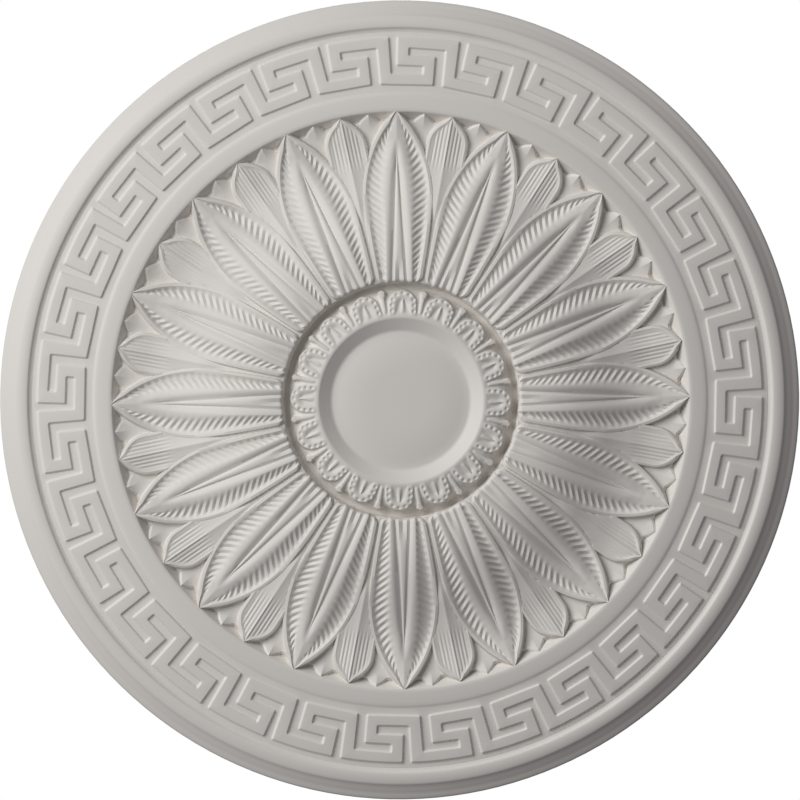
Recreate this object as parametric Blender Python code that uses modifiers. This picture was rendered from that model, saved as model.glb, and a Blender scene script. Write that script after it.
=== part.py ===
"""A round moulded ceiling rose: a stepped rim, a Greek key band, a ring of veined leaves in three layers,
and a scalloped collar round a sunk, slightly domed disc.

Units are metres. The rose hangs as it does in use: its flat back lies in the plane z = 0, where the ceiling
is, and the ornament faces down. Every shape below is first drawn face up, as a plan radius and a height
above the back, and one empty then turns the whole rose over.
"""

import math

import bmesh
import bpy
from mathutils import Vector, geometry

# Repeats
SECTORS = 16
KEYS = 32
TURN_STEPS = 48

# Border, from the outer edge inwards
ROSE_R = 0.2540
LIP_H = 0.0018
EDGE_W = 0.0011
EDGE_RISE = 0.0012
FACE_W = 0.0079
FACE_RISE = 0.0054
BEAD_W = 0.0078
BEAD_RISE = 0.0021
BEAD_POINTS = 3
BEAD_FULLNESS = 1.5
COVE_W = 0.0041
COVE_DEPTH = 0.0011
COVE_LIP_W = 0.0016
COVE_LIP_DEPTH = 0.0008
GROUND_W = 0.0371
GROUND_SLOPE = 0.160
STEP_W = 0.0020
STEP_RISE = 0.0013
CROWN_W = 0.0085
CROWN_RISE = 0.0012
ARRIS_W = 0.0008
INNER_WALL_W = 0.0014

# Greek key band: three strips and two channels across, measured in from its outer edge
KEY_MARGIN = 0.0026
STRIP_W = 0.0065
CHANNEL_W = 0.00505
KEY_RELIEF = 0.0014
KEY_DRAFT = 0.0010
KEY_TURN_DEG = -0.3
# Places along one key, as shares of its pitch, from the middle of the slot that opens outwards
OUT_SLOT_HALF = 0.060
OUT_SLOT_HALF_INSIDE = 0.043
OUT_CHANNEL_END = 0.453
IN_SLOT_LEFT = 0.627
IN_SLOT_RIGHT = 0.768
IN_CHANNEL_END = 0.227
ARC_POINTS = 1

# Centre, from the middle outwards
DISC_R = 0.0425
DISC_CROWN = 0.0018
DISC_FLAT_R = 0.0180
RECESS_W = 0.0106
RECESS_DEPTH = 0.0045
CREST_W = 0.0026
COLLAR_W = 0.0111
COLLAR_STEP = 0.0002
COLLAR_FALL = 0.0019
COLLAR_DRAFT = 0.0008
GUTTER_W = 0.0060
GUTTER_DEPTH = 0.0060
GROUND_FALL = 0.0040

# Lobes and darts of the collar
LOBE_R = 0.0089
LOBE_HALF_W = 0.0086
LOBE_OVERHANG = 0.0027
LOBE_ROOT = 0.0008
LOBE_TURN_DEG = 1.9
LOBE_ROWS = (0.62, 0.90)
LOBE_GROOVE_AT = 0.32
LOBE_BAND_AT = 0.60
LOBE_GROOVE_DEPTH = 0.0020
LOBE_EDGE_DROP = 0.0004
DART_HALF_W = 0.0023
DART_ROOT_HALF_W = 0.0009
DART_POINT = 0.0027
DART_DROP = 0.0003

# Leaf field: the crests of the leaves follow a dome, and the bed lies below them
DOME_RISE = 0.0207
DOME_FULLNESS = 1.25
DOME_SHOULDER = 0.0020
TROUGH_W = 0.0206
TIP_CURL = 0.0004
BED_DEPTH = 0.0033
BED_RINGS = 3
BED_SET_BACK = 0.0060
BURIED = 0.0010
CORE_H = 0.0060
WELD = 0.0001
LEAF_FLAT = math.radians(6.2)
KEY_FLAT = math.radians(2.0)
SHARP_ANGLE = math.radians(14)

# Front leaves
LEAF_SIDE_GAP = 0.0008
LEAF_HALF_W = 0.0231
LEAF_WIDEST = 0.49
BASE_FULLNESS = 1.3
TIP_FULLNESS = 2.6
TIP_HALF_W = 0.0006
TIP_SINK = 0.0009
BULGE_OFFSET = 0.0076
BULGE_END = 0.81
BULGE_FULLNESS = 4.2
BULGE_MOST = 0.50
BULGE_LEAST = 0.12
GROOVE_SHARE = 0.43
MIDRIB_DROP = 0.0003
GROOVE_DEPTH = 0.0010
HOLLOW_DEPTH = 0.0022
MARGIN_DEPTH = 0.0018
HOLLOW_AT = 0.74
LEAF_STATIONS = (0.16, 0.36, 0.55, 0.72, 0.87)

# Middle leaves, seen between the front ones, and back leaves, of which only the tips show
FOLDED_FULLNESS = 3.0
FOLDED_RISE = 1.3
MIDDLE_LEAF_L = 0.0610
MIDDLE_HALF_W = 0.0170
MIDDLE_SHORT = 0.0036
MIDDLE_SLOPE = 0.22
MIDDLE_ROOT_SINK = 0.0026
MIDDLE_STATIONS = (0.45, 0.80)
BACK_LEAF_L = 0.0200
BACK_HALF_W = 0.0105
BACK_SHORT = 0.0012
BACK_SLOPE = 0.20
BACK_ROOT_SINK = 0.0013
BACK_STATIONS = (0.62,)

# Finish
FOAM_COLOUR = (0.86, 0.85, 0.83, 1.0)
FOAM_ROUGHNESS = 0.62

# Worked out from the sizes above
SECTOR = 2 * math.pi / SECTORS
PITCH = 2 * math.pi / KEYS
FACE_IN_R = ROSE_R - EDGE_W - FACE_W
FACE_IN_H = LIP_H + EDGE_RISE + FACE_RISE
BEAD_IN_R = FACE_IN_R - BEAD_W
BEAD_H = FACE_IN_H + BEAD_RISE
GROUND_OUT_R = BEAD_IN_R - COVE_W
GROUND_OUT_H = BEAD_H - COVE_DEPTH
GROUND_IN_R = GROUND_OUT_R - GROUND_W
GROUND_IN_H = GROUND_OUT_H + GROUND_W * GROUND_SLOPE
STEP_IN_R = GROUND_IN_R - STEP_W
STEP_H = GROUND_IN_H + STEP_RISE
CROWN_IN_R = STEP_IN_R - CROWN_W
CROWN_H = STEP_H + CROWN_RISE
WALL_TOP_R = CROWN_IN_R - ARRIS_W
FIELD_OUT_R = WALL_TOP_R - INNER_WALL_W
KEY_OUT_R = GROUND_OUT_R - KEY_MARGIN
RECESS_OUT_R = DISC_R + RECESS_W
CREST_OUT_R = RECESS_OUT_R + CREST_W
COLLAR_OUT_R = CREST_OUT_R + COLLAR_W
FIELD_IN_R = COLLAR_OUT_R + COLLAR_DRAFT + GUTTER_W
BED_IN_R = FIELD_IN_R + BED_SET_BACK
TROUGH_H = CROWN_H - TIP_CURL
DOME_TOP_H = TROUGH_H + DOME_RISE
GUTTER_H = DOME_TOP_H - GUTTER_DEPTH
LOBE_CENTRE_R = COLLAR_OUT_R + LOBE_OVERHANG - LOBE_R
LEAF_L = WALL_TOP_R - FIELD_IN_R
LEAF_BASE_HALF_W = FIELD_IN_R * SECTOR / 2 - LEAF_SIDE_GAP


def smooth(t):
    """An S-curve from 0 to 1."""
    t = min(1.0, max(0.0, t))
    return t * t * (3 - 2 * t)


def dome(r):
    """Height of the leaves' crests at a plan radius."""
    inner = FIELD_IN_R + DOME_SHOULDER
    outer = FIELD_OUT_R - TROUGH_W
    t = min(1.0, max(0.0, (r - inner) / (outer - inner)))
    curl = TIP_CURL * smooth((r - outer) / (FIELD_OUT_R - outer))
    return TROUGH_H + DOME_RISE * (1 + math.cos(math.pi * t**DOME_FULLNESS)) / 2 + curl


def bed(r):
    """Height of the surface that the leaves lie on."""
    return dome(r) - BED_DEPTH


def ground(r):
    """Height of the key band's sunk ground, a cone that rises inwards."""
    return GROUND_OUT_H + (GROUND_OUT_R - r) * GROUND_SLOPE


def collar_top(r):
    """Height of the tops of the collar's lobes, which fall outwards from the crest."""
    share = max(0.0, (r - CREST_OUT_R) / COLLAR_W)
    return DOME_TOP_H - COLLAR_STEP - COLLAR_FALL * share


def plan(r, offset, h):
    """A point at a radius, offset along its circle, clockwise as seen face on."""
    angle = offset / r
    return Vector((r * math.sin(angle), r * math.cos(angle), h))


def mesh_object(name, mesh, collection, frame):
    obj = bpy.data.objects.new(name, mesh)
    obj.parent = frame
    collection.objects.link(obj)
    return obj


def profile_points():
    """The rose's half section as (radius, height), from the back's middle round the edge to the disc."""
    points = [(0.0, 0.0), (ROSE_R, 0.0), (ROSE_R, LIP_H), (ROSE_R - EDGE_W, LIP_H + EDGE_RISE)]
    points += [(FACE_IN_R, FACE_IN_H)]
    for i in range(1, BEAD_POINTS + 1):
        t = i / BEAD_POINTS
        points.append((FACE_IN_R - BEAD_W * t**BEAD_FULLNESS, FACE_IN_H + BEAD_RISE * math.sin(math.pi / 2 * t)))
    points += [(BEAD_IN_R - COVE_LIP_W, BEAD_H - COVE_LIP_DEPTH), (GROUND_OUT_R, GROUND_OUT_H)]
    points += [(GROUND_OUT_R - KEY_MARGIN / 2, ground(GROUND_OUT_R) - KEY_RELIEF)]
    points += [(GROUND_IN_R + KEY_MARGIN / 2, ground(GROUND_IN_R) - KEY_RELIEF)]
    points += [(GROUND_IN_R, GROUND_IN_H), (STEP_IN_R, STEP_H), (CROWN_IN_R, CROWN_H)]
    points += [(WALL_TOP_R, CROWN_H - ARRIS_W / 2)]
    for i in range(BED_RINGS + 1):
        r = FIELD_OUT_R + (BED_IN_R - FIELD_OUT_R) * i / BED_RINGS
        points.append((r, bed(r)))
    points += [(BED_IN_R, GUTTER_H), (COLLAR_OUT_R + COLLAR_DRAFT, GUTTER_H)]
    points += [(COLLAR_OUT_R, DOME_TOP_H - GROUND_FALL)]
    disc_edge_h = DOME_TOP_H - RECESS_DEPTH
    points += [(CREST_OUT_R, DOME_TOP_H), (RECESS_OUT_R, DOME_TOP_H), (DISC_R, disc_edge_h)]
    points += [(DISC_FLAT_R, disc_edge_h + DISC_CROWN), (0.0, disc_edge_h + DISC_CROWN)]
    return points


def turned_body(collection, frame):
    """The plain turned rose, which all the carving stands on."""
    mesh = bpy.data.meshes.new("ceiling_rose")
    points = profile_points()
    mesh.from_pydata([(r, 0.0, h) for r, h in points], [(i, i + 1) for i in range(len(points) - 1)], [])
    body = mesh_object("ceiling_rose", mesh, collection, frame)
    screw = body.modifiers.new("Turn", "SCREW")
    screw.axis = "Z"
    screw.steps = TURN_STEPS
    screw.render_steps = TURN_STEPS
    screw.use_merge_vertices = True
    screw.merge_threshold = 0.00001
    screw.use_normal_flip = True
    return body


def offset_loop(points, distance):
    """A closed outline moved sideways by a distance, with mitred corners."""
    moved = []
    for i, here in enumerate(points):
        before = (here - points[i - 1]).normalized()
        after = (points[(i + 1) % len(points)] - here).normalized()
        side = Vector((before.y + after.y, -before.x - after.x)).normalized()
        moved.append(here + side * distance / side.dot(Vector((before.y, -before.x))))
    return moved


def key_outlines():
    """The two closed edges of the key band in plan: the outer one with its slots, and the inner one."""
    strip_2 = KEY_OUT_R - STRIP_W
    strip_3 = strip_2 - CHANNEL_W
    strip_4 = strip_3 - STRIP_W
    strip_5 = strip_4 - CHANNEL_W
    key_in_r = strip_5 - STRIP_W
    outer = [(-OUT_SLOT_HALF, KEY_OUT_R), (-OUT_SLOT_HALF_INSIDE, strip_5), (OUT_CHANNEL_END, strip_5)]
    outer += [(OUT_CHANNEL_END, strip_4), (OUT_SLOT_HALF_INSIDE, strip_4), (OUT_SLOT_HALF, KEY_OUT_R)]
    for i in range(1, ARC_POINTS + 1):
        t = i / (ARC_POINTS + 1)
        outer.append((OUT_SLOT_HALF + (1 - 2 * OUT_SLOT_HALF) * t, KEY_OUT_R))
    inner = [(IN_SLOT_LEFT, key_in_r), (IN_SLOT_LEFT, strip_3), (IN_CHANNEL_END, strip_3)]
    inner += [(IN_CHANNEL_END, strip_2), (IN_SLOT_RIGHT, strip_2), (IN_SLOT_RIGHT, key_in_r)]
    loops = []
    for corners in (outer, inner):
        loop = []
        for key in range(KEYS):
            for share, r in corners:
                angle = (key + share) * PITCH + math.radians(KEY_TURN_DEG)
                loop.append(Vector((r * math.sin(angle), r * math.cos(angle))))
        loops.append(loop)
    return loops


def circle(r, count):
    return [Vector((r * math.sin(i * 2 * math.pi / count), r * math.cos(i * 2 * math.pi / count)))
            for i in range(count)]


def key_ring(collection, frame):
    """The key band and its sunk ground: one plan of closed lines, triangulated and lifted to its heights."""
    outer, inner = key_outlines()
    half = KEY_DRAFT / 2
    edge = KEY_MARGIN / 6
    loops = [circle(GROUND_OUT_R + BURIED, TURN_STEPS), circle(GROUND_OUT_R - edge, TURN_STEPS)]
    loops += [offset_loop(outer, -half), offset_loop(outer, half), offset_loop(inner, -half)]
    loops += [offset_loop(inner, half), circle(GROUND_IN_R + edge, TURN_STEPS)]
    loops += [circle(GROUND_IN_R - BURIED, TURN_STEPS)]
    raised = (False, False, False, True, True, False, False, False)
    points, edges, lifts = [], [], []
    for loop, high in zip(loops, raised):
        first = len(points)
        points += loop
        lifts += [KEY_RELIEF if high else 0.0] * len(loop)
        edges += [(first + i, first + (i + 1) % len(loop)) for i in range(len(loop))]
    flat, _, faces, source, _, _ = geometry.delaunay_2d_cdt(points, edges, [], 1, 1e-7)
    bm = bmesh.new()
    for place, origin in zip(flat, source):
        bm.verts.new((place.x, place.y, ground(place.length) + max(lifts[i] for i in origin)))
    bm.verts.ensure_lookup_table()
    for face in faces:
        middle = sum((flat[i] for i in face), Vector((0.0, 0.0))) / len(face)
        if middle.length > GROUND_IN_R - BURIED * 2:
            bm.faces.new([bm.verts[i] for i in face])
    sink(bm, CORE_H)
    mesh = bpy.data.meshes.new("key_ring")
    bm.to_mesh(mesh)
    bm.free()
    return mesh_object("key_ring", mesh, collection, frame)


def sink(bm, floor_h):
    """Closes an open carved surface into a solid that reaches down to a flat floor inside the rose."""
    top = bm.faces[:]
    made = bmesh.ops.extrude_face_region(bm, geom=top)
    lowered = [g for g in made["geom"] if isinstance(g, bmesh.types.BMVert)]
    for vert in lowered:
        vert.co.z = floor_h
    bmesh.ops.recalc_face_normals(bm, faces=bm.faces[:])


def loft(name, rows):
    """A carved solid whose top is a net of sections from root to tip."""
    bm = bmesh.new()
    net = [[bm.verts.new(point) for point in row] for row in rows]
    for near, far in zip(net, net[1:]):
        for i in range(len(near) - 1):
            bm.faces.new((near[i], near[i + 1], far[i + 1], far[i]))
    bm.normal_update()
    sink(bm, CORE_H)
    mesh = bpy.data.meshes.new(name)
    bm.to_mesh(mesh)
    bm.free()
    return mesh


def leaf_half_width(t):
    """Half the front leaf's width at a share of its length from the root."""
    if t < LEAF_WIDEST:
        taper = ((LEAF_WIDEST - t) / LEAF_WIDEST) ** BASE_FULLNESS
        return LEAF_HALF_W - (LEAF_HALF_W - LEAF_BASE_HALF_W) * taper
    return LEAF_HALF_W * (1 - ((t - LEAF_WIDEST) / (1 - LEAF_WIDEST)) ** TIP_FULLNESS)


def both_sides(r, half):
    """A section across a leaf at a radius, from its right half as (offset, height), middle first."""
    left = [plan(r, -x, h) for x, h in reversed(half[1:])]
    return left + [plan(r, x, h) for x, h in half]


def front_leaf():
    """A leaf with a midrib, a smooth swelling on each side of it, a hollow blade and a raised margin."""
    rows = []
    for t in (0.0, *LEAF_STATIONS, 1.0):
        r = FIELD_IN_R + LEAF_L * t
        width = max(TIP_HALF_W, leaf_half_width(t))
        fade = max(0.0, 1 - (t / BULGE_END) ** BULGE_FULLNESS)
        crest = max(min(BULGE_OFFSET * fade, width * BULGE_MOST), width * BULGE_LEAST)
        depth = width / LEAF_HALF_W
        section = [(0.0, MIDRIB_DROP * fade), (crest * GROOVE_SHARE, GROOVE_DEPTH * fade), (crest, 0.0)]
        section += [(width * HOLLOW_AT, HOLLOW_DEPTH * depth), (width, MARGIN_DEPTH * depth)]
        top = dome(r) - TIP_SINK * (t == 1.0)
        rows.append(both_sides(r, [(x, top - drop) for x, drop in section]))
    return loft("front_leaf", rows)


def folded_leaf(name, length, short, half_w, slope, root_sink, stations):
    """A leaf folded along its midrib, its root sunk among the leaves in front of it."""
    tip_r = WALL_TOP_R - short
    rows = []
    for t in (0.0, *stations, 1.0):
        r = tip_r - length * (1 - t)
        width = max(TIP_HALF_W, half_w * (1 - t**FOLDED_FULLNESS))
        crest = dome(r) - root_sink * (1 - smooth(t * FOLDED_RISE))
        rows.append(both_sides(r, [(0.0, crest), (width, crest - width * slope)]))
    return loft(name, rows)


def lobe():
    """A round-headed lobe of the collar, with a groove on each side of its middle."""
    rows = []
    head = COLLAR_OUT_R + LOBE_OVERHANG
    radii = [CREST_OUT_R - LOBE_ROOT, LOBE_CENTRE_R, *(LOBE_CENTRE_R + LOBE_R * t for t in LOBE_ROWS), head]
    for r in radii:
        reach = max(0.0, r - LOBE_CENTRE_R)
        width = max(TIP_HALF_W, LOBE_HALF_W * math.sqrt(max(0.0, 1 - (reach / LOBE_R) ** 2)))
        groove = LOBE_GROOVE_DEPTH * smooth((LOBE_R * LOBE_ROWS[0] - r + LOBE_CENTRE_R) / LOBE_R)
        top = collar_top(r)
        inner = width * LOBE_GROOVE_AT
        outer = width * LOBE_BAND_AT
        section = [(0.0, top), (inner, top - groove), (outer, top), (width, top - LOBE_EDGE_DROP)]
        rows.append(both_sides(r, section))
    return loft("lobe", rows)


def dart():
    """The pointed dart that stands between two lobes."""
    rows = []
    head = COLLAR_OUT_R + LOBE_OVERHANG
    root = CREST_OUT_R - LOBE_ROOT
    for r, width in ((root, DART_ROOT_HALF_W), (head - DART_POINT, DART_HALF_W), (head, TIP_HALF_W)):
        top = collar_top(r) - DART_DROP
        rows.append(both_sides(r, [(0.0, top), (width, top - DART_DROP)]))
    return loft("dart", rows)


def repeat(mesh, count, first_angle, collection, frame):
    """Copies of one carved piece round the rose, clockwise as seen face on."""
    for i in range(count):
        copy = mesh_object(f"{mesh.name}_{i + 1}", mesh, collection, frame)
        copy.rotation_euler.z = -(first_angle + i * 2 * math.pi / count)


def foam_material():
    material = bpy.data.materials.new("moulded_foam")
    material.use_nodes = True
    shader = material.node_tree.nodes["Principled BSDF"]
    shader.inputs["Base Color"].default_value = FOAM_COLOUR
    shader.inputs["Roughness"].default_value = FOAM_ROUGHNESS
    shader.inputs["Metallic"].default_value = 0.0
    return material


def merge_flats(mesh, bands):
    """Makes one face of neighbours that lie nearly flat, inside each band of (inner radius, outer, angle)."""
    bm = bmesh.new()
    bm.from_mesh(mesh)
    for inner, outer, angle in bands:
        verts = {v for v in bm.verts if inner + BURIED < v.co.xy.length < outer - WELD}
        edges = [e for e in bm.edges if verts.issuperset(e.verts)]
        bmesh.ops.dissolve_limit(bm, angle_limit=angle, verts=list(verts), edges=edges)
    bm.to_mesh(mesh)
    bm.free()


def carve(body, carving):
    """Joins every carved piece to the turned body as one solid, and shades its curved faces smooth."""
    for piece in carving.objects:
        piece.hide_render = True
        piece.display_type = "WIRE"
    union = body.modifiers.new("Carving", "BOOLEAN")
    union.operation = "UNION"
    union.operand_type = "COLLECTION"
    union.collection = carving
    union.solver = "EXACT"
    weld = body.modifiers.new("Weld", "WELD")
    weld.merge_threshold = WELD
    graph = bpy.context.evaluated_depsgraph_get()
    whole = bpy.data.meshes.new_from_object(body.evaluated_get(graph))
    body.modifiers.clear()
    body.data = whole
    merge_flats(whole, ((CREST_OUT_R, FIELD_OUT_R, LEAF_FLAT), (GROUND_IN_R, GROUND_OUT_R, KEY_FLAT)))
    whole.shade_smooth()
    whole.set_sharp_from_angle(angle=SHARP_ANGLE)
    for piece in list(carving.objects):
        bpy.data.objects.remove(piece)
    bpy.data.collections.remove(carving)


def main():
    for obj in list(bpy.data.objects):
        bpy.data.objects.remove(obj)
    scene = bpy.context.scene
    parts = bpy.data.collections.new("ceiling_rose")
    carving = bpy.data.collections.new("carving")
    scene.collection.children.link(parts)
    scene.collection.children.link(carving)
    frame = bpy.data.objects.new("face_down", None)
    frame.rotation_euler.x = math.pi
    parts.objects.link(frame)

    body = turned_body(parts, frame)
    key_ring(carving, frame)
    repeat(front_leaf(), SECTORS, 0.0, carving, frame)
    middle = folded_leaf("middle_leaf", MIDDLE_LEAF_L, MIDDLE_SHORT, MIDDLE_HALF_W, MIDDLE_SLOPE,
                         MIDDLE_ROOT_SINK, MIDDLE_STATIONS)
    repeat(middle, SECTORS, SECTOR / 2, carving, frame)
    back = folded_leaf("back_leaf", BACK_LEAF_L, BACK_SHORT, BACK_HALF_W, BACK_SLOPE,
                       BACK_ROOT_SINK, BACK_STATIONS)
    repeat(back, 2 * SECTORS, SECTOR / 4, carving, frame)
    turn = math.radians(LOBE_TURN_DEG)
    repeat(lobe(), SECTORS, turn, carving, frame)
    repeat(dart(), SECTORS, turn + SECTOR / 2, carving, frame)
    carve(body, carving)
    body.data.materials.append(foam_material())


main()
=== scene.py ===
"""The looks of the ceiling rose: one finely carved casting that stands for the CAD solid, its painted foam
finish, soft studio light from the upper left, and a long lens looking almost straight up at its face.

The carving is worked out face up in millimetres: a plan with the picture's top leaf on +Y, and a height
above the flat back. The last step turns it over, into the frame's metres.
"""

import math

import bmesh
import bpy
import numpy as np
from mathutils import Matrix, Vector, geometry


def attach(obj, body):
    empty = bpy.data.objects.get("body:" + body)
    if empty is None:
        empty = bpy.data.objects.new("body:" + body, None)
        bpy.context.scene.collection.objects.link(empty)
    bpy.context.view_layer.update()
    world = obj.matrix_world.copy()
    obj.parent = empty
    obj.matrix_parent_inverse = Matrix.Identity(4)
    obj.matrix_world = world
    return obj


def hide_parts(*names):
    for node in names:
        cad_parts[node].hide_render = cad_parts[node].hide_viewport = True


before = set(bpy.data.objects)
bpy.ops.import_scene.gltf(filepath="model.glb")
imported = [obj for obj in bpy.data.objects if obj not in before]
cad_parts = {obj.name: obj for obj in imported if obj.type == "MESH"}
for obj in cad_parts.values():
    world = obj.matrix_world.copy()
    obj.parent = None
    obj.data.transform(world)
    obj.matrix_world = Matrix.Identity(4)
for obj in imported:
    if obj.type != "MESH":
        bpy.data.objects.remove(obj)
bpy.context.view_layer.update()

# Repeats: SECTORS leaves, lobes and darts, and KEYS keys
SECTORS = 16
KEYS = 32
SECTOR = 2 * math.pi / SECTORS
PITCH = 2 * math.pi / KEYS

# Mesh: steps round a plain ring, the height that the shells go down to inside the body, the share of the
# triangles that is kept, and the angle in degrees above which an edge is shaded sharp
TURN_STEPS = 160
FLOOR_H = 4.0
THIN_TO = 0.81
SHARP_ANGLE = 40

# Border: plan radii and heights, in millimetres
ROSE_R = 254.0
CREASE_R = 244.9
CREASE_H = 8.5
BEAD_TOP_H = 10.8
BEAD_IN_R = 237.2
GROUND_OUT_R = 233.0
GROUND_OUT_H = 9.35
GROUND_IN_R = 196.0
GROUND_SLOPE = 0.160
STEP_IN_R = 193.0
STEP_H = 16.5
CROWN_IN_R = 184.1
CROWN_H = 17.8
WALL_TOP_R = 183.3
FIELD_OUT_R = 183.0

# Greek key band
KEY_OUT_R = 230.5
KEY_IN_R = 200.9
CHANNEL_B = (223.8, 218.9)
CHANNEL_A = (212.6, 207.3)
KEY_RELIEF = 1.6
KEY_WALL = 1.8
KEY_FILLET = 0.8
KEY_TURN = math.radians(-0.3)
OUT_SLOT_HALF = (0.060, 0.043)
OUT_CHANNEL_END = 0.453
IN_SLOT_LEFT = (0.630, 0.624)
IN_SLOT_RIGHT = (0.775, 0.762)
IN_CHANNEL_END = 0.227
WALL_PROFILE = ((-0.50, 0.0), (-0.20, 0.18), (0.20, 0.82), (0.50, 1.0))

# Dome that the leaves' crests follow, and the bed under them
DOME_IN_R = 75.6
DOME_OUT_R = 162.7
DOME_LOW_H = 17.4
DOME_RISE = 20.7
DOME_FULLNESS = 1.25
TIP_CURL = 0.4
BED_DEPTH = 4.6
BED_IN_R = 79.5
POCKET_IN_R = 178.5
POCKET_H = 10.6
BURIED = 0.8

# Front leaves
LEAF_IN_R = 75.0
LEAF_OUT_R = 183.6
LEAF_WIDEST_R = 129.0
LEAF_HALF_W = 22.9
LEAF_BASE_HALF_W = 14.8
BASE_FULLNESS = 1.25
TIP_FULLNESS = 0.76
MIDRIB_END_R = 161.4
MIDRIB_GROOVE = 4.6
MIDRIB_DEPTH = 1.7
HOLLOW_DEPTH = 1.8
HOLLOW_END_R = 97.0
HOLLOW_FADE = 20.0
BULGE_OFFSET = 7.75
BULGE_END_R = 166.5
BULGE_RISE = 0.9
VALLEY_DEPTH = 2.0
BEAD_RISE = 1.0
EDGE_WALL = (0.9, -0.5)
BEAD_CREST = 2.5
BEAD_FOOT = 4.2
RIB_BAND = 0.39
RIB_PITCH = (3.8, 4.6)
RIB_DEPTH = 1.15
RIB_SLANT = 6.4
RIB_ROWS = 4
RIB_SHARES = (0.0, 0.14, 0.38, 0.68, 0.9, 1.0)
RIBS_IN_R = 80.0
RIBS_GROW_OVER = 30.0
NEAR_COLUMNS = 7
BESIDE_MIDRIB = ((0.0, 0.0), (0.3, 0.0), (0.6, 0.0), (0.85, 0.0), (0.92, 0.08), (0.5, 0.5), (0.0, 1.0))
LEAF_ROOT = ((-0.9, 11.0), (-0.6, 6.0), (-0.2, 2.6), (0.2, 1.2), (0.7, 0.5), (1.3, 0.15))
NOSE_AT = 8.0

# Where a leaf dives under its neighbour: how far inside the edge it starts, and over what width
COVER_START = 1.2
COVER_SPREAD = 2.0
COVER_DROP = 4.0

# Middle leaves
MIDDLE_IN_R = 75.5
MIDDLE_OUT_R = 182.4
MIDDLE_WIDEST_R = 165.0
MIDDLE_HALF_W = 13.0
MIDDLE_FALL = 1.9
MIDDLE_BEAD_FOOT = 2.9
MIDDLE_BEAD_CREST = 1.7
MIDDLE_BEAD_RISE = 0.6
MIDDLE_LIFT = 0.5
MIDDLE_LIFT_R = 152.0
MIDDLE_SINK = 2.7
MIDDLE_SINK_R = 112.0
FLUTE_PITCH = 2.35
FLUTE_DEPTH = 0.45
FLUTE_IN_R = 146.0
FLUTES = 4

# Back leaves
BACK_IN_R = 158.0
BACK_OUT_R = 183.4
BACK_WIDEST_R = 169.0
BACK_HALF_W = 11.5
BACK_POINT = 1.75
BACK_TIP_H = 17.6
BACK_RISE = 0.42
BACK_LOW_H = 8.0
BACK_BEVEL = 1.5
BACK_SLOPE = 0.3
BACK_BEVEL_SLOPE = 0.9
BACK_COLUMNS = 8

# Centre
DISC_FLAT_R = 18.0
DISC_R = 43.0
DISC_TOP_H = 35.4
DISC_EDGE_H = 33.2
RECESS_FOOT_R = 44.2
RECESS_SLOPE = 0.57
RING_IN_R = 52.0
CREST_IN_R = 53.6
CREST_OUT_R = 57.0
CREST_H = 38.0
COLLAR_OUT_R = 65.6
GUTTER_H = 26.4
GUTTER_RISE = 0.9

# Collar's lobes and darts
COLLAR_STEPS = 40
RING_OUT_R = 71.6
COLLAR_ROWS = 35
COLLAR_SLOPE = 0.26
COLLAR_STEEPER_R = 62.5
COLLAR_STEEPER = 0.25
LOBE_TURN = math.radians(1.87)
LOBE_CENTRE_R = 61.2
LOBE_R = 9.0
LOBE_FALL = 0.16
BORDER_IN = 4.9
CHANNEL_DEPTH = 1.35
SPIKE_TIP_R = 64.8
SPIKE_HALF_W = 2.2
DIMPLE_R = 1.25
DIMPLE_DEPTH = 0.85
DIMPLE_ARCH_R = 7.0
DIMPLE_ANGLES = (0, 34, 67)
DIMPLE_LEGS = (60.4, 56.7)
DARTS = ((56.0, 0.9), (60.0, 1.2), (65.5, 1.3), (68.0, 2.0), (69.3, 2.4), (70.2, 1.6), (70.9, 0.3))

# View: how far the camera is off the rose's axis, in degrees, the height it is turned about, in metres, the
# lens in millimetres, and the rose's width in a picture 800 wide
VIEW_LEFT = 1.3
VIEW_UP = 0.6
VIEW_ROLL = 0.8
VIEW_HEIGHT = 0.006
LENS = 1200.0
SENSOR = 36.0
PICTURE_W = 800
ROSE_IN_PICTURE = 799.4

# Finish and light: directions in degrees, distances and sizes in metres
PAINT = (0.825, 0.792, 0.747, 1.0)
PAINT_THIN = (0.795, 0.762, 0.715, 1.0)
PAINT_ROUGHNESS = (0.50, 0.64)
RAW_FOAM = (0.86, 0.81, 0.70, 1.0)
RAW_FOAM_PIT = (0.66, 0.60, 0.48, 1.0)
FILL = 0.125
FILL_COLOUR = (0.98, 0.96, 1.02)
KEY_AZIMUTH = -60
KEY_ELEVATION = 40
KEY_DISTANCE = 6.0
KEY_SIZE = 4.0
KEY_POWER = 292
BACK_AZIMUTH = 20
BACK_ELEVATION = -70
BACK_DISTANCE = 4.0
BACK_SIZE = 3.0
BACK_POWER = 110
STUDIO_FLOOR_R = 6.0
STUDIO_FLOOR_Z = -19.0


def smooth(t):
    """An S-curve from 0 to 1."""
    t = np.clip(t, 0.0, 1.0)
    return t * t * (3 - 2 * t)


def dome(r):
    """Height of the leaves' crests at a plan radius."""
    t = np.clip((r - DOME_IN_R) / (DOME_OUT_R - DOME_IN_R), 0.0, 1.0)
    curl = TIP_CURL * smooth((r - DOME_OUT_R) / (FIELD_OUT_R - DOME_OUT_R))
    return DOME_LOW_H + DOME_RISE * (1 + np.cos(math.pi * t**DOME_FULLNESS)) / 2 + curl


def recess(r):
    """Height of the straight wall round the disc."""
    return DISC_EDGE_H + RECESS_SLOPE * (r - RECESS_FOOT_R)


def ground(r):
    """Height of the ground that the keys stand on."""
    return GROUND_OUT_H + (GROUND_OUT_R - r) * GROUND_SLOPE


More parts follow.
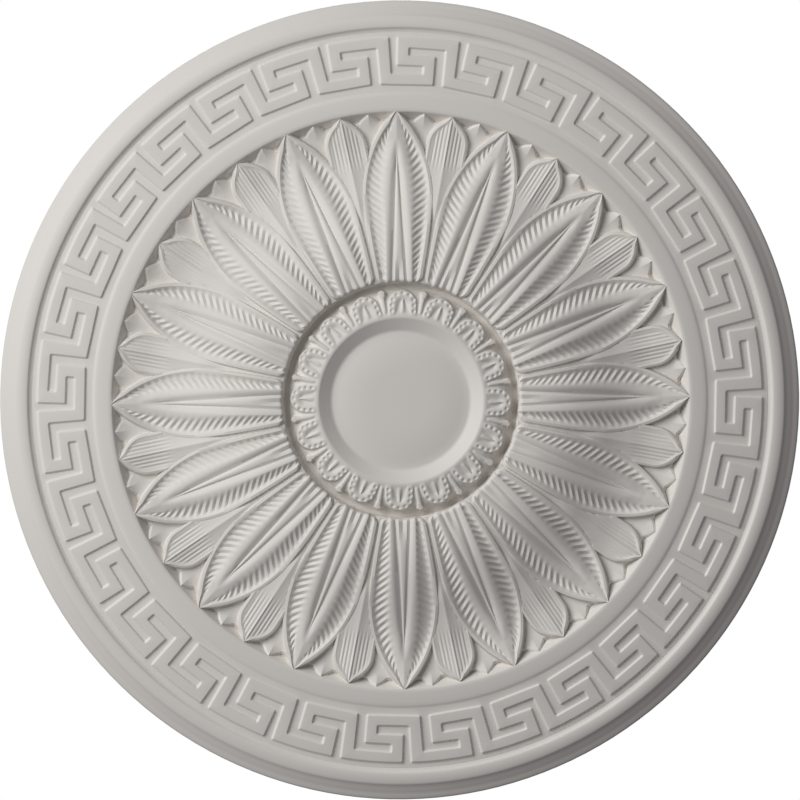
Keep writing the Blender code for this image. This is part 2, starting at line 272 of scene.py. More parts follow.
def arc(start, end, bulge, count):
    """Points of a shallow bow between two profile points, without the first."""
    points = []
    for i in range(1, count + 1):
        t = i / count
        lift = bulge * 4 * t * (1 - t)
        points.append((start[0] + (end[0] - start[0]) * t, start[1] + (end[1] - start[1]) * t + lift))
    return points


def profile():
    """The half section of the plain turned body, from the back's rim over the face to its middle."""
    points = [(ROSE_R, 0.0), (ROSE_R, 1.5), (253.7, 2.25), (252.9, 2.9), (251.1, 3.9), (249.7, 4.7)]
    points += [(249.1, 5.25), (247.3, 6.5), (245.9, 7.55), (CREASE_R, CREASE_H), (244.5, 9.0), (244.0, 9.4)]
    points += [(243.2, 9.75)]
    points += arc(points[-1], (BEAD_IN_R + 0.15, BEAD_TOP_H), 0.32, 5)
    points += [(236.85, 10.65), (236.4, 10.15), (235.9, 9.76), (235.2, 9.42), (234.4, 9.18), (233.6, 9.08)]
    points += [(GROUND_OUT_R, GROUND_OUT_H), (GROUND_OUT_R - 1.2, GROUND_OUT_H - 1.6)]
    points += [(GROUND_IN_R + 1.2, ground(GROUND_IN_R) - 1.8), (GROUND_IN_R, ground(GROUND_IN_R))]
    points += [(GROUND_IN_R - 0.7, ground(GROUND_IN_R) + 0.25), (STEP_IN_R + 1.6, STEP_H - 0.45)]
    points += [(STEP_IN_R + 0.6, STEP_H - 0.1)]
    points += arc(points[-1], (CROWN_IN_R, CROWN_H), 0.16, 5)
    points += [(WALL_TOP_R, CROWN_H - 0.35), (WALL_TOP_R - 0.5, CROWN_H - 1.1), (POCKET_IN_R, POCKET_H)]
    for r in np.linspace(POCKET_IN_R - 2.0, BED_IN_R, 11):
        points.append((float(r), float(dome(r)) - BED_DEPTH))
    points += [(BED_IN_R, 33.0), (74.8, 31.0), (73.8, GUTTER_H), (72.4, GUTTER_H), (70.6, GUTTER_H + 1.0)]
    points += [(COLLAR_OUT_R - 1.0, GUTTER_H + 1.2), (CREST_IN_R + 1.0, CREST_H - 5.0)]
    points += [(52.8, CREST_H - 1.6), (RING_IN_R, recess(RING_IN_R) - 0.02)]
    points += [(r, recess(r)) for r in (50.0, 47.0, 45.2)]
    points += [(44.6, recess(44.6) + 0.02), (44.0, DISC_EDGE_H + 0.1), (43.5, DISC_EDGE_H + 0.02)]
    points += [(DISC_R, DISC_EDGE_H)]
    for i in range(5, -1, -1):
        t = i / 6
        r = DISC_FLAT_R + (DISC_R - DISC_FLAT_R) * t
        points.append((r, DISC_EDGE_H + (DISC_TOP_H - DISC_EDGE_H) * (1 - t * t)))
    return points


def mesh_object(name, verts, faces):
    """A closed mesh, its faces turned outwards."""
    mesh = bpy.data.meshes.new(name)
    mesh.from_pydata([tuple(v) for v in verts], [], faces)
    bm = bmesh.new()
    bm.from_mesh(mesh)
    bmesh.ops.recalc_face_normals(bm, faces=bm.faces[:])
    bm.to_mesh(mesh)
    bm.free()
    obj = bpy.data.objects.new(name, mesh)
    bpy.context.scene.collection.objects.link(obj)
    return obj


def turned_body():
    """The plain turned body, closed at the back and in the middle."""
    points = profile()
    verts = []
    for r, h in points:
        for i in range(TURN_STEPS):
            a = 2 * math.pi * i / TURN_STEPS
            verts.append((r * math.sin(a), r * math.cos(a), h))
    faces = []
    for ring in range(len(points) - 1):
        for i in range(TURN_STEPS):
            j = (i + 1) % TURN_STEPS
            low, high = ring * TURN_STEPS, (ring + 1) * TURN_STEPS
            faces.append((low + i, low + j, high + j, high + i))
    last = (len(points) - 1) * TURN_STEPS
    faces.append(tuple(range(TURN_STEPS)))
    faces.append(tuple(last + i for i in range(TURN_STEPS)))
    return mesh_object("rose_body", verts, faces)


def copies(name, net, count, first_angle):
    """Closed shells made from one net of points, spread round the rose. A net has its root row first."""
    rows, columns = net.shape[:2]
    top = net.reshape(-1, 3)
    low = top.copy()
    low[:, 2] = FLOOR_H
    cell = np.concatenate([top, low])
    size = rows * columns
    index = np.arange(size).reshape(rows, columns)
    faces = []
    for r in range(rows - 1):
        for c in range(columns - 1):
            a, b, d, e = index[r, c], index[r, c + 1], index[r + 1, c + 1], index[r + 1, c]
            faces.append((a, b, d, e))
            faces.append((e + size, d + size, b + size, a + size))
    edge = [*index[0, :], *index[1:, -1], *index[-1, -2::-1], *index[-2:0:-1, 0]]
    for i, a in enumerate(edge):
        b = edge[(i + 1) % len(edge)]
        faces.append((b, a, a + size, b + size))
    verts, all_faces = [], []
    for i in range(count):
        angle = first_angle + i * 2 * math.pi / count
        cos, sin = math.cos(angle), math.sin(angle)
        turned = cell.copy()
        turned[:, 0] = cell[:, 0] * cos + cell[:, 1] * sin
        turned[:, 1] = cell[:, 1] * cos - cell[:, 0] * sin
        shift = i * len(cell)
        verts.append(turned)
        all_faces += [tuple(int(v) + shift for v in face) for face in faces]
    return mesh_object(name, np.concatenate(verts), all_faces)


def both_sides(half):
    """A full row from its right half, middle first."""
    left = [(-x, y, h) for x, y, h in reversed(half[1:])]
    return left + list(half)


def offset_loop(points, distance):
    """A closed outline moved sideways by a distance, with mitred corners."""
    moved = []
    for i, here in enumerate(points):
        before = (here - points[i - 1]).normalized()
        after = (points[(i + 1) % len(points)] - here).normalized()
        side = Vector((before.y + after.y, -before.x - after.x)).normalized()
        moved.append(here + side * distance / side.dot(Vector((before.y, -before.x))))
    return moved


def fillet_loop(points, distance):
    """The outline with its corners rounded, each radius made to suit how far the outline was moved."""
    rounded = []
    for i, here in enumerate(points):
        before = (here - points[i - 1]).normalized()
        after = (points[(i + 1) % len(points)] - here).normalized()
        turn = before.x * after.y - before.y * after.x
        if abs(turn) < 0.3:
            rounded.append(here)
            continue
        radius = max(0.25, KEY_FILLET + (distance if turn > 0 else -distance))
        back = here - before * radius
        on = here + after * radius
        middle = (back + on) / 4 + here / 2
        rounded += [back, middle, on]
    return rounded


def key_outlines():
    """The two closed edges of the key band in plan: the outer one with its slots, and the inner one."""
    half_out, half_in = OUT_SLOT_HALF
    outer = [(-half_out, KEY_OUT_R), (-half_in, CHANNEL_A[1]), (OUT_CHANNEL_END, CHANNEL_A[1])]
    outer += [(OUT_CHANNEL_END, CHANNEL_A[0]), (half_in, CHANNEL_A[0])]
    outer += [(half_out + (1 - 2 * half_out) * t / 4, KEY_OUT_R) for t in range(4)]
    inner = [(IN_SLOT_LEFT[0], KEY_IN_R), (IN_SLOT_LEFT[1], CHANNEL_B[1]), (IN_CHANNEL_END, CHANNEL_B[1])]
    inner += [(IN_CHANNEL_END, CHANNEL_B[0]), (IN_SLOT_RIGHT[1], CHANNEL_B[0])]
    inner += [(IN_SLOT_RIGHT[0], KEY_IN_R)]
    loops = []
    for corners in (outer, inner):
        loop = []
        for key in range(KEYS):
            for share, r in corners:
                angle = (key + share) * PITCH + KEY_TURN
                loop.append(Vector((r * math.sin(angle), r * math.cos(angle))))
        loops.append(loop)
    return loops


def circle(r):
    """The places of one ring of the turned body."""
    steps = [i * 2 * math.pi / TURN_STEPS for i in range(TURN_STEPS)]
    return [Vector((r * math.sin(a), r * math.cos(a))) for a in steps]


def key_ring():
    """The key band and its sunk ground, from closed plan lines that are triangulated and lifted."""
    outer, inner = key_outlines()
    loops = [(circle(GROUND_OUT_R + 0.6), 0.0), (circle(GROUND_OUT_R - 0.5), 0.0)]
    for share, lift in WALL_PROFILE:
        distance = share * KEY_WALL
        loops.append((fillet_loop(offset_loop(outer, distance), distance), lift))
        loops.append((fillet_loop(offset_loop(inner, -distance), -distance), lift))
    loops += [(circle(GROUND_IN_R + 0.5), 0.0), (circle(GROUND_IN_R - 0.6), 0.0)]
    points, edges, lifts = [], [], []
    for loop, lift in loops:
        first = len(points)
        points += loop
        lifts += [lift * KEY_RELIEF] * len(loop)
        edges += [(first + i, first + (i + 1) % len(loop)) for i in range(len(loop))]
    flat, _, faces, source, _, _ = geometry.delaunay_2d_cdt(points, edges, [], 1, 1e-5)
    top = []
    for place, origin in zip(flat, source):
        lift = max([lifts[i] for i in origin], default=0.0)
        top.append((place.x, place.y, ground(place.length) + lift))
    size = len(top)
    verts = top + [(x, y, FLOOR_H) for x, y, _ in top]
    solid, uses = [], {}
    for face in faces:
        middle = sum((flat[i] for i in face), Vector((0.0, 0.0))) / len(face)
        if middle.length < GROUND_IN_R - 1.0:
            continue
        solid.append(tuple(face))
        for i, a in enumerate(face):
            uses[(a, face[(i + 1) % len(face)])] = True
    lower = [tuple(v + size for v in reversed(face)) for face in solid]
    walls = [(b, a, a + size, b + size) for a, b in uses if (b, a) not in uses]
    return mesh_object("key_ring", verts, solid + lower + walls)


def leaf_half_width(y):
    """Half the front leaf's width, from its axis to the middle of its edge wall."""
    if y < LEAF_WIDEST_R:
        t = (LEAF_WIDEST_R - y) / (LEAF_WIDEST_R - LEAF_IN_R)
        nose = 1 - 0.08 * (1 - smooth((y - LEAF_IN_R + 0.8) / 3.5))
        return (LEAF_HALF_W - (LEAF_HALF_W - LEAF_BASE_HALF_W) * t**BASE_FULLNESS) * nose
    t = min(1.0, (y - LEAF_WIDEST_R) / (LEAF_OUT_R - LEAF_WIDEST_R))
    return max(0.25, LEAF_HALF_W * (1 - t * t) ** TIP_FULLNESS)


def leaf_slope(y):
    """How much longer a step straight across the leaf is than one square to its edge."""
    rate = leaf_half_width(y + 0.5) - leaf_half_width(y - 0.5)
    return math.sqrt(1 + min(4.0, rate * rate))


def leaf_lines(y):
    """Offsets of the leaf's structure lines at a place along it."""
    width = leaf_half_width(y)
    stretch = leaf_slope(y)
    along = (y - LEAF_IN_R) / (BULGE_END_R - LEAF_IN_R)
    groove = MIDRIB_GROOVE * max(0.0, (MIDRIB_END_R - y) / (MIDRIB_END_R - LEAF_IN_R)) ** 0.85
    crest = BULGE_OFFSET * max(0.0, 1 - along**3.2 if along > 0 else 1.0) ** 0.75
    bead_foot = max(width * 0.45, width - BEAD_FOOT * stretch)
    bead = max(width * 0.62, width - BEAD_CREST * stretch)
    top = max(width * 0.8, width - EDGE_WALL[0] * stretch)
    foot = width - EDGE_WALL[1] * stretch
    band = min(width * RIB_BAND, bead_foot * 0.62)
    band = max(band, crest + 0.5) if crest > 0 else band
    return groove, crest, band, bead_foot, bead, top, foot


def leaf_section(x, y, lines):
    """Height of the leaf's smooth surface against its spine, before the ribs are cut."""
    groove, crest, _, bead_foot, bead, top, _ = lines
    width = leaf_half_width(y)
    rise = BULGE_RISE * smooth((y - LEAF_IN_R) / 35.0) * smooth((BULGE_END_R - y) / 12.0)
    valley = VALLEY_DEPTH * width / LEAF_HALF_W
    valley_at = bead_foot - 0.2 * (bead_foot - crest)
    fall = smooth((x - crest) / max(0.1, valley_at - crest))
    if crest < 0.5:
        fall = min(1.0, x / valley_at) ** 1.15
    h = rise * smooth(x / max(0.6, crest)) - (valley + rise) * fall
    if groove > 0.05:
        depth = MIDRIB_DEPTH * smooth(groove / 1.6)
        h -= depth * math.exp(-((x - groove) / (0.25 * groove + 0.32)) ** 2)
        if y < HOLLOW_END_R:
            sink = HOLLOW_DEPTH * smooth((HOLLOW_END_R - y) / HOLLOW_FADE)
            h -= sink * math.exp(-((x / (0.45 * groove)) ** 2))
    if x > bead_foot:
        h += BEAD_RISE * math.sin(math.pi / 2 * min(1.0, (x - bead_foot) / max(0.1, bead - bead_foot)))
    if x > bead:
        h -= 0.35 * smooth((x - bead) / max(0.1, top - bead))
    return h


def covered(x, y, turn, half_width, outer):
    """From 0 to 1, how far a place is under the edge of a leaf whose axis is turned from this one's."""
    across = abs(abs(x) * math.cos(turn) - y * math.sin(turn))
    along = abs(x) * math.sin(turn) + y * math.cos(turn)
    if along > outer:
        return 0.0
    return float(smooth((half_width(along) - across - COVER_START) / COVER_SPREAD))


def front_leaf():
    """The big leaf's net. Its rows bend with the ribs, RIB_ROWS of them to a rib."""
    places = [(LEAF_IN_R + along, -1, sink) for along, sink in LEAF_ROOT]
    place = LEAF_IN_R + 1.7
    step = 0
    while place < LEAF_OUT_R - 3.0:
        places.append((place, step, 0.0))
        grown = float(smooth((place - RIBS_IN_R) / RIBS_GROW_OVER))
        pitch = RIB_PITCH[0] + (RIB_PITCH[1] - RIB_PITCH[0]) * grown
        place += pitch / RIB_ROWS
        step += 1
    places += [(LEAF_OUT_R - 2.2, -1, 0.0), (LEAF_OUT_R - 1.2, -1, 0.2)]
    places += [(LEAF_OUT_R - 0.4, -1, 0.5), (LEAF_OUT_R, -1, 0.9)]
    rows = []
    for place, step, sink in places:
        slant = RIB_SLANT * (0.67 + 0.33 * smooth((place - RIBS_IN_R) / RIBS_GROW_OVER))
        slant = float(slant * smooth((place - LEAF_IN_R + 1.1) / 8.0) * smooth((LEAF_OUT_R - place) / 26.0))
        near_root = float(1 - smooth((place - LEAF_IN_R - 1.0) / 9.0))
        half = []
        for column in range(NEAR_COLUMNS + len(RIB_SHARES) + 3):
            share = 0.0
            if column >= NEAR_COLUMNS:
                share = RIB_SHARES[min(column - NEAR_COLUMNS, len(RIB_SHARES) - 1)]
            y = place + slant * share
            lines = leaf_lines(y)
            groove, crest, band, bead_foot, bead, top, foot = lines
            if column < NEAR_COLUMNS:
                of_groove, of_crest = BESIDE_MIDRIB[column]
                beside = of_groove * groove + of_crest * crest
                spread = band * 0.135 * column
                here = float(smooth(groove / 1.2))
                x = beside * here + spread * (1 - here)
            elif column < NEAR_COLUMNS + len(RIB_SHARES):
                x = band + (bead_foot - band) * share
            else:
                x = (bead, top, foot)[column - NEAR_COLUMNS - len(RIB_SHARES)]
            h = float(dome(y)) + leaf_section(x, y, lines) - sink
            if step >= 0 and 0.0 < share < 1.0:
                wave = -math.cos(2 * math.pi * step / RIB_ROWS)
                fade = smooth(share / 0.3 + 0.15) * smooth((1 - share) / 0.14)
                h -= RIB_DEPTH * float(fade * smooth((LEAF_OUT_R - y - 2.0) / 14.0)) * (0.35 + 0.5 * wave)
            if column == NEAR_COLUMNS + len(RIB_SHARES) + 2:
                h = float(dome(y)) - BED_DEPTH - BURIED
            nose = 0.4 * math.exp(-((x / 3.0) ** 2)) + 1.4 * max(0.0, (x - NOSE_AT) / 5.5) ** 2
            shift = (nose - x * x / (2 * LEAF_IN_R)) * near_root
            half.append((x, y + shift, h))
        rows.append(both_sides(half))
    return np.array(rows)


def middle_half_width(y):
    """Half the middle leaf's width. It only matters where the leaf shows, beyond the front leaves' edges."""
    if y < MIDDLE_WIDEST_R:
        return MIDDLE_HALF_W
    t = min(1.0, (y - MIDDLE_WIDEST_R) / (MIDDLE_OUT_R - MIDDLE_WIDEST_R))
    return max(0.25, MIDDLE_HALF_W * (1 - t * t) ** 0.85)


def middle_leaf():
    """The net of a leaf seen between two front ones: a sharp crest, and flutes that end at its margin."""
    columns = FLUTES * 4 + 2
    rows = []
    near, far = np.linspace(MIDDLE_IN_R, 144.0, 13), np.linspace(147.0, MIDDLE_OUT_R - 0.6, 20)
    for y in [*near, *far, MIDDLE_OUT_R]:
        y = float(y)
        width = middle_half_width(y)
        slope = middle_half_width(y - 0.5) - middle_half_width(y + 0.5)
        stretch = math.sqrt(1 + min(4.0, slope * slope))
        bead_foot = max(0.3 * width, width - MIDDLE_BEAD_FOOT * stretch)
        bead = max(0.55 * width, width - MIDDLE_BEAD_CREST * stretch)
        top = max(0.8 * width, width - 0.5 * stretch)
        crest = float(dome(y)) + MIDDLE_LIFT * math.exp(-(((y - MIDDLE_LIFT_R) / 9.0) ** 2))
        crest -= MIDDLE_SINK * float(1 - smooth((y - MIDDLE_SINK_R) / 16.0))
        crest -= 0.5 * float(smooth((y - MIDDLE_OUT_R + 3.0) / 3.0))
        flute = FLUTE_DEPTH * float(smooth((y - FLUTE_IN_R) / 8.0))
        half = []
        for column in range(columns + 3):
            if column < columns:
                x = min(FLUTE_PITCH * column / 4, bead_foot - 0.04 * (columns - column))
                x = max(x, 0.0) if bead_foot > 0.04 * columns else bead_foot * column / columns
            else:
                x = (bead, top, width + 0.8 * stretch)[column - columns]
            fall = MIDDLE_FALL * (1 - math.exp(-x / 5.5))
            h = crest - fall
            if column < columns:
                wave = 0.5 - 0.5 * math.cos(2 * math.pi * x / FLUTE_PITCH)
                h -= flute * wave * float(smooth((bead_foot - x) / 0.8))
            elif column == columns:
                h += MIDDLE_BEAD_RISE
            elif column == columns + 1:
                h += 0.2
            else:
                h = float(dome(y)) - BED_DEPTH - BURIED
            h -= COVER_DROP * covered(x, y, SECTOR / 2, leaf_half_width, LEAF_OUT_R)
            half.append((x, y, h))
        rows.append(both_sides(half))
    return np.array(rows)


def back_leaf():
    """The net of a leaf of which only the tip shows: two flat faces that meet in a ridge, with a bevelled
    margin."""
    rows = []
    reach = BACK_OUT_R - BACK_WIDEST_R
    for y in [*np.linspace(BACK_IN_R, BACK_OUT_R - 0.5, 20), BACK_OUT_R - 0.02]:
        y = float(y)
        t = max(0.0, 1 - (BACK_OUT_R - y) / reach)
        width = max(0.1, BACK_HALF_W * (1 - t**BACK_POINT))
        lean = 1 / math.hypot(1.0, BACK_HALF_W * BACK_POINT * t ** (BACK_POINT - 1) / reach)
        flat = max(width * 0.4, width - BACK_BEVEL / lean)
        places = [flat * i / BACK_COLUMNS for i in range(BACK_COLUMNS)]
        places += [flat, (flat + width) / 2, width]
        crest = BACK_TIP_H - BACK_RISE * (BACK_OUT_R - y)
        half = []
        for x in places:
            bevel = max(0.0, BACK_BEVEL - (width - x) * lean)
            h = crest - BACK_SLOPE * x - BACK_BEVEL_SLOPE * bevel
            under = max(
                covered(x, y, SECTOR / 4, leaf_half_width, LEAF_OUT_R),
                covered(x, y, SECTOR / 4, middle_half_width, MIDDLE_OUT_R),
            )
            half.append((x, y, max(BACK_LOW_H, h - COVER_DROP * under)))
        half.append((width + 0.5, y, BACK_LOW_H))
        rows.append(both_sides(half))
    return np.array(rows)


def lobe_height(x, y, base, top):
    """Height of a lobe's dimpled border, the channel inside it and its spike, and of the base beside it."""
    from_arch = np.hypot(x, np.maximum(0.0, y - LOBE_CENTRE_R))
    inside = smooth((LOBE_R + 0.35 - from_arch) / 0.9)
    crown = top - 0.35 * smooth((from_arch - LOBE_R + 1.4) / 1.4) - 0.2 * smooth((5.9 - from_arch) / 1.2)
    spike = SPIKE_HALF_W * np.clip((SPIKE_TIP_R - y) / 9.3, 0.0, 1.0)
    into = (BORDER_IN + 0.3 - from_arch) / (BORDER_IN - 0.2 - spike)
    depth = CHANNEL_DEPTH * smooth(1.15 * into)
    on_spike = smooth((spike + 0.6 - np.abs(x)) / (0.75 * spike + 0.6))
    on_spike = on_spike * smooth((SPIKE_TIP_R + 0.4 - y) / 1.2)
    crown = crown - depth * (1 - 0.9 * on_spike)
    for angle in DIMPLE_ANGLES:
        a = math.radians(angle)
        along = y - LOBE_CENTRE_R - DIMPLE_ARCH_R * math.cos(a)
        away = np.hypot(np.abs(x) - DIMPLE_ARCH_R * math.sin(a), along)
        crown = crown - DIMPLE_DEPTH * smooth(1.25 - away / DIMPLE_R)
    for r in DIMPLE_LEGS:
        away = np.hypot(np.abs(x) - DIMPLE_ARCH_R, y - r)
        crown = crown - DIMPLE_DEPTH * smooth(1.25 - away / DIMPLE_R)
    return base + (crown - base) * inside


def collar_height(angle, r):
    """Height of the collar at a polar place: lobes and darts on a ring that falls outwards."""
    base = CREST_H - 0.25 - COLLAR_SLOPE * np.maximum(0.0, r - CREST_IN_R - 0.6)
    base = base - COLLAR_STEEPER * np.maximum(0.0, r - COLLAR_STEEPER_R)
    base = base - 0.2 * smooth((r - 55.0) / 2.0)
    foot = GUTTER_H + 0.4 + GUTTER_RISE * (RING_OUT_R - r)
    base = foot + (base - foot) * smooth((COLLAR_OUT_R + 3.8 - r) / 2.8)
    top = CREST_H - 0.05 - LOBE_FALL * np.maximum(0.0, r - CREST_OUT_R)
    turn = (angle - LOBE_TURN + SECTOR / 2) % SECTOR - SECTOR / 2
    carved = lobe_height(r * np.sin(turn), r * np.cos(turn), base, top)
    turn = (angle - LOBE_TURN) % SECTOR - SECTOR / 2
    x, y = np.abs(r * np.sin(turn)), r * np.cos(turn)
    width = np.interp(y, [p[0] for p in DARTS], [p[1] for p in DARTS])
    on_dart = smooth((width + 0.6 - x) / 1.3) * smooth((71.2 - y) / 0.6) * smooth((y - 55.0) / 2.0)
    carved = np.maximum(carved, base + (top - 0.25 - base) * on_dart)
    lip = np.minimum(CREST_H - 0.1, recess(r))
    return carved + (lip - carved) * smooth((54.9 - r) / 1.3)


def collar():
    """The collar as a closed ring, its top a fine net in polar steps."""
    steps = SECTORS * COLLAR_STEPS
    radii = np.linspace(RING_IN_R, RING_OUT_R, COLLAR_ROWS)
    angles = np.arange(steps) * 2 * math.pi / steps
    a, r = np.meshgrid(angles, radii)
    h = collar_height(a, r)
    h[-1] = GUTTER_H - 0.6
    top = np.stack([r * np.sin(a), r * np.cos(a), h], axis=-1)
    low = top[[-1, 0]].copy()
    low[..., 2] = FLOOR_H
    rings = np.concatenate([top, low, top[:1]])
    count = len(radii) + 2
    faces = []
    for row in range(count):
        near, far = row * steps, ((row + 1) % count) * steps
        for i in range(steps):
            j = (i + 1) % steps
            faces.append((near + i, near + j, far + j, far + i))
    return mesh_object("collar", rings[:count].reshape(-1, 3), faces)


def paint_material():
    """Matt primer on cast foam: a warm white that is a little uneven, with a faint sprayed grain. The back
    is left raw, so its fine cells show."""
    material = bpy.data.materials.new("matt_primer")
    material.use_nodes = True
    nodes, links = material.node_tree.nodes, material.node_tree.links
    shader = nodes["Principled BSDF"]
    shader.inputs["Specular IOR Level"].default_value = 0.35
    place = nodes.new("ShaderNodeTexCoord")

    def noise(scale, detail):
        node = nodes.new("ShaderNodeTexNoise")
        node.inputs["Scale"].default_value = scale
        node.inputs["Detail"].default_value = detail
        links.new(place.outputs["Object"], node.inputs["Vector"])
        return node

    cloud, grain = noise(14.0, 4.0), noise(900.0, 3.0)
    tint = nodes.new("ShaderNodeMix")
    tint.data_type = "RGBA"
    tint.inputs[6].default_value = PAINT_THIN
    tint.inputs[7].default_value = PAINT
    links.new(cloud.outputs["Fac"], tint.inputs[0])
    cells = nodes.new("ShaderNodeTexVoronoi")
    cells.inputs["Scale"].default_value = 420.0
    links.new(place.outputs["Object"], cells.inputs["Vector"])
    raw = nodes.new("ShaderNodeMix")
    raw.data_type = "RGBA"
    raw.inputs[6].default_value = RAW_FOAM_PIT
    raw.inputs[7].default_value = RAW_FOAM
    links.new(cells.outputs["Distance"], raw.inputs[0])
    apart = nodes.new("ShaderNodeSeparateXYZ")
    links.new(place.outputs["Object"], apart.inputs["Vector"])
    at_back = nodes.new("ShaderNodeMapRange")
    at_back.inputs["From Min"].default_value = -0.0009
    at_back.inputs["From Max"].default_value = -0.0002
    links.new(apart.outputs["Z"], at_back.inputs["Value"])
    finish = nodes.new("ShaderNodeMix")
    finish.data_type = "RGBA"
    links.new(at_back.outputs["Result"], finish.inputs[0])
    links.new(tint.outputs[2], finish.inputs[6])
    links.new(raw.outputs[2], finish.inputs[7])
    links.new(finish.outputs[2], shader.inputs["Base Color"])
    gloss = nodes.new("ShaderNodeMapRange")
    gloss.inputs["To Min"].default_value = PAINT_ROUGHNESS[0]
    gloss.inputs["To Max"].default_value = PAINT_ROUGHNESS[1]
    links.new(grain.outputs["Fac"], gloss.inputs["Value"])
    links.new(gloss.outputs["Result"], shader.inputs["Roughness"])
    bump = nodes.new("ShaderNodeBump")
    bump.inputs["Strength"].default_value = 0.08
    bump.inputs["Distance"].default_value = 0.0004
    links.new(grain.outputs["Fac"], bump.inputs["Height"])
    links.new(bump.outputs["Normal"], shader.inputs["Normal"])
    return material


def carve():
    """Joins the carved shells to the turned body as one closed casting, and turns it face down."""
    body = turned_body()
    shells = [key_ring(), copies("front_leaves", front_leaf(), SECTORS, 0.0)]
    shells += [copies("middle_leaves", middle_leaf(), SECTORS, SECTOR / 2)]
    shells += [copies("back_leaves", back_leaf(), 2 * SECTORS, SECTOR / 4)]
    shells += [collar()]
    for shell in shells:
        join = body.modifiers.new(shell.name, "BOOLEAN")
        join.operation = "UNION"
        join.solver = "MANIFOLD"
        join.object = shell
    thin = body.modifiers.new("thin", "DECIMATE")
    thin.ratio = THIN_TO
    graph = bpy.context.evaluated_depsgraph_get()
    mesh = bpy.data.meshes.new_from_object(body.evaluated_get(graph))
    for piece in [body, *shells]:
        bpy.data.objects.remove(piece)
    count = len(mesh.vertices)
    points = np.zeros(count * 3)
    mesh.vertices.foreach_get("co", points)
    points = points.reshape(-1, 3) * np.array([0.001, -0.001, -0.001])
    mesh.vertices.foreach_set("co", points.ravel())
    rose = bpy.data.objects.new("carved_rose", mesh)
    bpy.context.scene.collection.objects.link(rose)
    bm = bmesh.new()
    bm.from_mesh(mesh)
    bmesh.ops.triangulate(bm, faces=bm.faces[:])
    bm.to_mesh(mesh)
    bm.free()
    mesh.shade_smooth()
    mesh.set_sharp_from_angle(angle=math.radians(SHARP_ANGLE))
    mesh.materials.clear()
    mesh.materials.append(paint_material())
    flats = rose.vertex_groups.new(name="key_flats")
    plan = np.hypot(points[:, 0], points[:, 1]) * 1000.0
    inside = np.nonzero((plan > GROUND_IN_R + 0.5) & (plan < GROUND_OUT_R - 0.5))[0]
    flats.add([int(i) for i in inside], 1.0, "REPLACE")
    even = rose.modifiers.new("even_shading", "WEIGHTED_NORMAL")
    even.keep_sharp = True
    even.vertex_group = flats.name
    return rose


def light_from(name, azimuth, elevation, distance, size, power):
    """A square soft box. Azimuth is clockwise from the picture's top, and elevation is up from the rose's
    face towards the camera."""
    a, e = math.radians(azimuth), math.radians(elevation)
    place = Vector((math.sin(a) * math.cos(e), -math.cos(a) * math.cos(e), -math.sin(e))) * distance
    lamp = bpy.data.lights.new(name, "AREA")
    lamp.size = size
    lamp.energy = power
    obj = bpy.data.objects.new(name, lamp)
    obj.location = place
    obj.rotation_euler = place.to_track_quat("Z", "Y").to_euler()
    bpy.context.scene.collection.objects.link(obj)


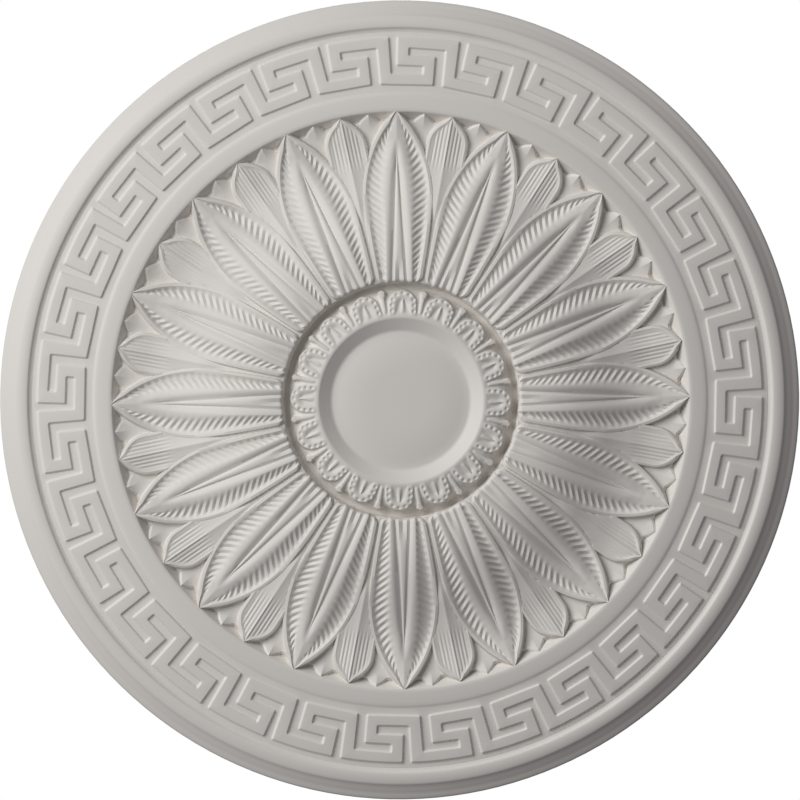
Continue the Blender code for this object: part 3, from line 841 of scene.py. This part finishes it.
def studio():
    """Plain soft studio light. The backdrop is white to the camera, and only faintly lights the rose."""
    world = bpy.data.worlds.new("studio")
    world.use_nodes = True
    nodes, links = world.node_tree.nodes, world.node_tree.links
    backdrop = nodes["Background"]
    backdrop.inputs["Color"].default_value = (1.0, 1.0, 1.0, 1.0)
    backdrop.inputs["Strength"].default_value = 1.0
    fill = nodes.new("ShaderNodeBackground")
    fill.inputs["Color"].default_value = (*FILL_COLOUR, 1.0)
    fill.inputs["Strength"].default_value = FILL
    pick = nodes.new("ShaderNodeMixShader")
    rays = nodes.new("ShaderNodeLightPath")
    links.new(rays.outputs["Is Camera Ray"], pick.inputs["Fac"])
    links.new(fill.outputs["Background"], pick.inputs[1])
    links.new(backdrop.outputs["Background"], pick.inputs[2])
    links.new(pick.outputs["Shader"], nodes["World Output"].inputs["Surface"])
    bpy.context.scene.world = world
    bpy.context.scene.view_settings.view_transform = "Standard"
    light_from("back", BACK_AZIMUTH, BACK_ELEVATION, BACK_DISTANCE, BACK_SIZE, BACK_POWER)
    light_from("key", KEY_AZIMUTH, KEY_ELEVATION, KEY_DISTANCE, KEY_SIZE, KEY_POWER)


def floor():
    """A pale round floor, far below the rose and behind the camera."""
    bm = bmesh.new()
    bmesh.ops.create_circle(bm, cap_ends=True, segments=96, radius=STUDIO_FLOOR_R)
    mesh = bpy.data.meshes.new("studio_floor")
    bm.to_mesh(mesh)
    bm.free()
    obj = bpy.data.objects.new("studio_floor", mesh)
    obj.location = (0.0, 0.0, STUDIO_FLOOR_Z)
    bpy.context.scene.collection.objects.link(obj)
    paint = bpy.data.materials.new("floor_paint")
    paint.use_nodes = True
    shader = paint.node_tree.nodes["Principled BSDF"]
    shader.inputs["Base Color"].default_value = (0.86, 0.86, 0.86, 1.0)
    shader.inputs["Roughness"].default_value = 0.9
    mesh.materials.append(paint)


def camera():
    """A long lens almost straight under the rose, far enough off to show it without perspective."""
    lens = bpy.data.cameras.new("camera")
    lens.lens = LENS
    lens.sensor_width = SENSOR
    reach = ROSE_R / 1000 * PICTURE_W / ROSE_IN_PICTURE
    distance = reach / (lens.sensor_width / 2 / lens.lens)
    lens.clip_end = 200.0
    left, up, roll = (math.radians(v) for v in (VIEW_LEFT, VIEW_UP, VIEW_ROLL))
    back = Vector((-math.sin(left), -math.sin(up), -math.cos(left) * math.cos(up))).normalized()
    top = Vector((math.sin(roll), -math.cos(roll), 0.0))
    right = top.cross(back).normalized()
    obj = bpy.data.objects.new("camera", lens)
    obj.matrix_world = Matrix((right, back.cross(right), back)).transposed().to_4x4()
    obj.location = Vector((0.0, 0.0, -VIEW_HEIGHT)) + back * distance
    bpy.context.scene.collection.objects.link(obj)
    bpy.context.scene.camera = obj


camera()
rose = carve()
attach(rose, "root")
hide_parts("ceiling_rose")
studio()
floor()
print("triangles", len(rose.data.polygons))
